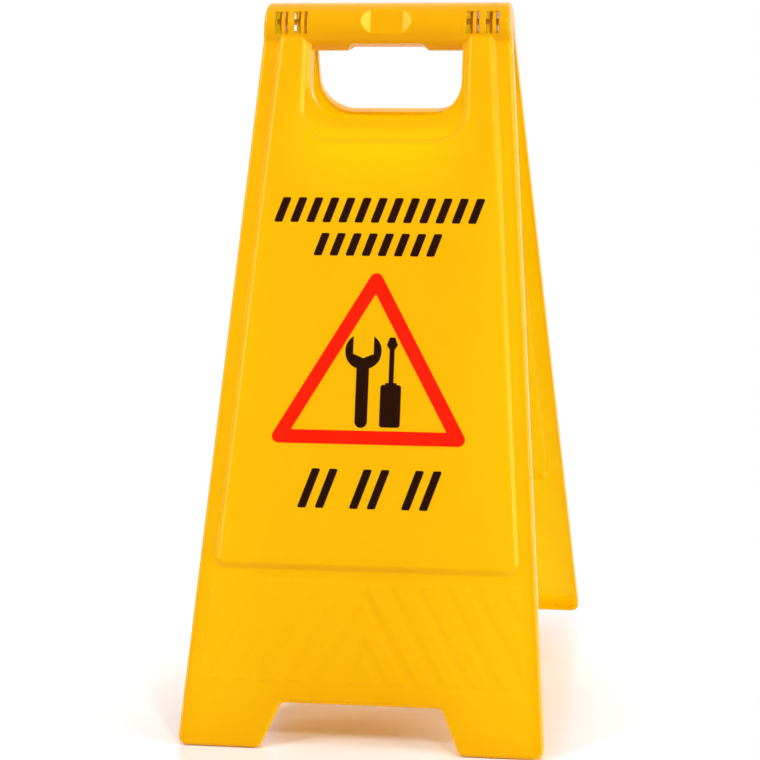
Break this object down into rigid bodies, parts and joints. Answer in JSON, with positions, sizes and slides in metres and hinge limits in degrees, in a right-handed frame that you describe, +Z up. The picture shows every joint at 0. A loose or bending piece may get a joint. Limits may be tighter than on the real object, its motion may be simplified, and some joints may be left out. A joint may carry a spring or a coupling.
{
  "type": "folding warning sign",
  "caption": "A-frame floor sign of moulded plastic whose hinged leaves share a round grip bar above a hand opening; opens to stand on its feet and folds flat to carry.",
  "frame": {"origin": "on the floor, midway between the feet, under the hinge axis", "axes": "+X along the hinge axis to the right of someone facing the front leaf, -Y towards the front leaf's feet, +Z up"},
  "size_m": [0.2988, 0.4204, 0.59],
  "materials": {
    "moulded_polypropylene": "warm yellow injection-moulded polypropylene, satin to gloss",
    "pin_steel": "plain drawn steel wire"
  },
  "bodies": {
    "front": {"front_leaf": "moulded_polypropylene", "hinge_pin_left": "pin_steel", "hinge_pin_right": "pin_steel"},
    "rear": {"rear_leaf": "moulded_polypropylene"}
  },
  "joints": [
    {"name": "leaf_fold", "type": "hinge", "parent": "front", "child": "rear", "pos_m": [0, 0, 0.57393], "axis": [-1, 0, 0], "range_deg": [0, 38]}
  ]
}
